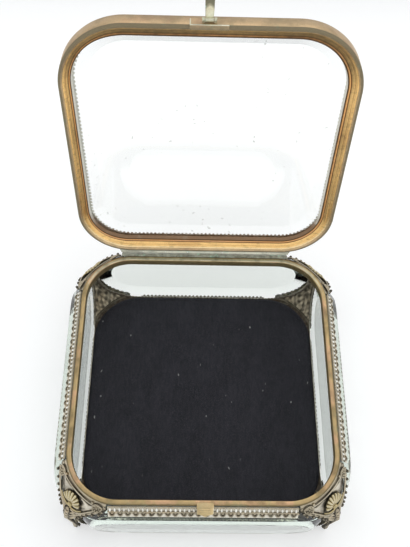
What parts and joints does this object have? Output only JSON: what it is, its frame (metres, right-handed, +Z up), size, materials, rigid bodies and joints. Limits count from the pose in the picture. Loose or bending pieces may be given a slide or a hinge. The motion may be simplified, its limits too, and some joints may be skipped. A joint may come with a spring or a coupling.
{
  "type": "glass casket box",
  "caption": "Square casket with rounded corners: bevelled glass sides and hinged glass lid in gilt metal mounts, leaf feet, velvet pad and hasp.",
  "frame": {"origin": "centre of the flat underside of the base plate, 6.5 mm above the surface that the feet stand on", "axes": "+Z up, -Y towards the front with the hasp and keeper, +Y towards the hinge, +X to the right seen from the front; the lid is stored open"},
  "size_m": [0.1384, 0.1682, 0.1966],
  "materials": {
    "gilt_metal": "worn gilding on pressed brass, browned in the hollows",
    "clear_glass": "clear polished plate glass with wide bevels",
    "velvet": "short black-blue velvet pile",
    "board": "plain board under the velvet"
  },
  "bodies": {
    "casket": {"base_plate": "gilt_metal", "base_frame": "gilt_metal", "top_rim": "gilt_metal", "pad_board": "board", "velvet_pad": "velvet", "glass_front": "clear_glass", "gallery_front": "gilt_metal", "lower_claws_front": "gilt_metal", "glass_right": "clear_glass", "gallery_right": "gilt_metal", "lower_claws_right": "gilt_metal", "glass_back": "clear_glass", "gallery_back": "gilt_metal", "lower_claws_back": "gilt_metal", "glass_left": "clear_glass", "gallery_left": "gilt_metal", "lower_claws_left": "gilt_metal", "corner_mount_front_left": "gilt_metal", "corner_mount_front_right": "gilt_metal", "corner_mount_back_left": "gilt_metal", "corner_mount_back_right": "gilt_metal", "keeper_shield": "gilt_metal", "hinge_box_leaf": "gilt_metal", "hinge_pin": "gilt_metal"},
    "lid": {"lid_frame": "gilt_metal", "lid_moulding": "gilt_metal", "lid_claws": "gilt_metal", "lid_glass": "clear_glass", "hinge_lid_leaf": "gilt_metal", "hasp_bracket": "gilt_metal", "hasp_pin": "gilt_metal"},
    "hasp": {"hasp_tongue": "gilt_metal"}
  },
  "joints": [
    {"name": "lid_hinge", "type": "hinge", "parent": "casket", "child": "lid", "pos_m": [0, 0.0644, 0.0543], "axis": [1, 0, 0], "range_deg": [0, 103.3]},
    {"name": "hasp_hinge", "type": "hinge", "parent": "lid", "child": "hasp", "pos_m": [-0.0015, 0.09337, 0.17944], "axis": [1, 0, 0], "range_deg": [-85, 66]}
  ]
}
